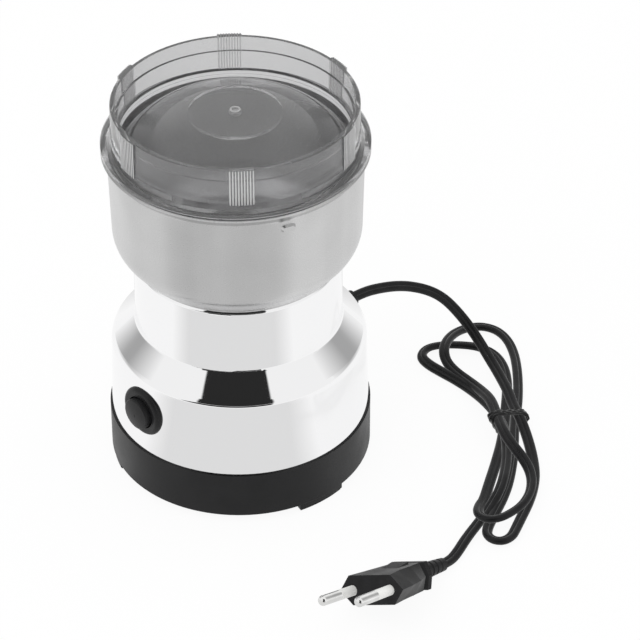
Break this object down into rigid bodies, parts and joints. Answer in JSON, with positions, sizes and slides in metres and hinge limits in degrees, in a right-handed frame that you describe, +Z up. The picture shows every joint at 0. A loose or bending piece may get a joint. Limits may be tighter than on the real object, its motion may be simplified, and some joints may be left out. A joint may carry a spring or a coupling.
{
  "type": "electric spice grinder",
  "caption": "Round electric spice grinder with a push button, a lift-off steel bowl with a blade, a clear domed lid with a rim and a mains cord with a flat plug.",
  "frame": {"origin": "on the motor's axis, in the plane of the surface that the foot pads stand on", "axes": "+Z up along the motor's axis; the push button faces -X-Y, 47 degrees from -Y, and the cord leaves on the other side"},
  "size_m": [0.1731, 0.2036, 0.1617],
  "materials": {
    "bright_steel": "polished",
    "satin_steel": "fine brushed",
    "clear_plastic": "clear, slightly smoky",
    "black_plastic": "fine satin",
    "black_rubber": "matte",
    "zinc_steel": "plated",
    "core_steel": "stacked sheets",
    "copper_wire": "lacquered",
    "bronze": "sintered",
    "brass": "plain",
    "carbon": "matte",
    "phenolic": "matte",
    "white_nylon": "matte",
    "aluminium": "cast",
    "cord_sheath": "satin",
    "tie_film": "glossy",
    "nickel": "plated"
  },
  "bodies": {
    "housing": {"motor_housing": "bright_steel", "base_cover": "black_plastic", "foot_pads": "black_rubber", "base_screws": "zinc_steel", "bowl_seat": "black_plastic", "lower_mount": "black_rubber", "lower_bracket": "aluminium", "lower_bearing": "bronze", "stator_core": "core_steel", "field_coils": "copper_wire", "brush_card": "phenolic", "brush_holders": "brass", "carbon_brushes": "carbon", "upper_bracket": "aluminium", "upper_bearing": "bronze", "mount_bushings": "black_rubber", "bracket_screws": "zinc_steel", "button_bezel": "black_plastic", "button_nut": "white_nylon", "switch_body": "black_plastic", "switch_terminals": "brass", "cord_gland": "black_rubber", "cord_lead": "cord_sheath", "cord_hank": "cord_sheath", "cord_tie": "tie_film", "cord_tail": "cord_sheath", "plug_body": "cord_sheath", "plug_sleeves": "white_nylon", "plug_pins": "nickel"},
    "rotor": {"motor_shaft": "zinc_steel", "armature_core": "core_steel", "armature_windings": "copper_wire", "commutator": "copper_wire", "cooling_fan": "white_nylon", "drive_coupling": "black_rubber"},
    "button": {"button_cap": "black_plastic"},
    "bowl": {"grinding_bowl": "satin_steel", "bowl_base": "black_plastic", "shaft_bush": "white_nylon", "shaft_seal": "black_rubber", "bush_nut": "zinc_steel"},
    "blade_drive": {"blade_shaft": "zinc_steel", "driven_coupling": "black_plastic", "blade_spacer": "white_nylon", "blade": "satin_steel", "blade_nut": "nickel"},
    "lid": {"lid": "clear_plastic"}
  },
  "joints": [
    {"name": "motor_spin", "type": "hinge", "parent": "housing", "child": "rotor", "pos_m": [0, 0, 0.045], "axis": [0, 0, 1], "continuous": true},
    {"name": "button_press", "type": "slide", "parent": "housing", "child": "button", "axis": [0.7314, 0.682, 0], "range_m": [0, 0.0025], "stiffness_N_per_m": 600, "springref_m": -0.002},
    {"name": "bowl_lift", "type": "slide", "parent": "housing", "child": "bowl", "axis": [0, 0, 1], "range_m": [0, 0.04]},
    {"name": "blade_spin", "type": "hinge", "parent": "bowl", "child": "blade_drive", "pos_m": [0, 0, 0.095], "axis": [0, 0, 1], "continuous": true},
    {"name": "lid_lift", "type": "slide", "parent": "bowl", "child": "lid", "axis": [0, 0, 1], "range_m": [0, 0.06]}
  ],
  "couplings": [
    {"joint": "blade_spin", "follows": "motor_spin", "ratio": 1}
  ]
}
